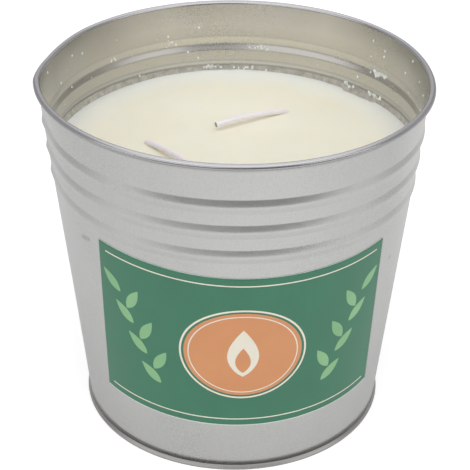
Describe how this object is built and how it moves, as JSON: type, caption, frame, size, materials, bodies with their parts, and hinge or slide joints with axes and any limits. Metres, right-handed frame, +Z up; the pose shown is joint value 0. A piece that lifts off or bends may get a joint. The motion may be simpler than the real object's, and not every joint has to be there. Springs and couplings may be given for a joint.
{
  "type": "citronella candle bucket",
  "caption": "Tapered tinplate bucket with rolled beads and a curled rim, filled with poured wax round bent wicks, with a paper label wrapped on its front.",
  "frame": {"origin": "on the floor, under the middle of the bottom seam", "axes": "+Z up along the bucket's axis, -Y out of the middle of the front label"},
  "size_m": [0.115, 0.115, 0.1086],
  "materials": {
    "tinplate": "satin",
    "wax": "satin",
    "wick_cord": "waxed",
    "tab_steel": "satin",
    "label_paper": "semi-gloss"
  },
  "bodies": {
    "root": {"bucket_wall": "tinplate", "bucket_bottom": "tinplate", "wax_fill": "wax", "front_label": "label_paper", "wick_rear": "wick_cord", "wick_left": "wick_cord", "wick_front": "wick_cord", "wick_tab_rear": "tab_steel", "wick_tab_left": "tab_steel", "wick_tab_front": "tab_steel"}
  },
  "joints": []
}
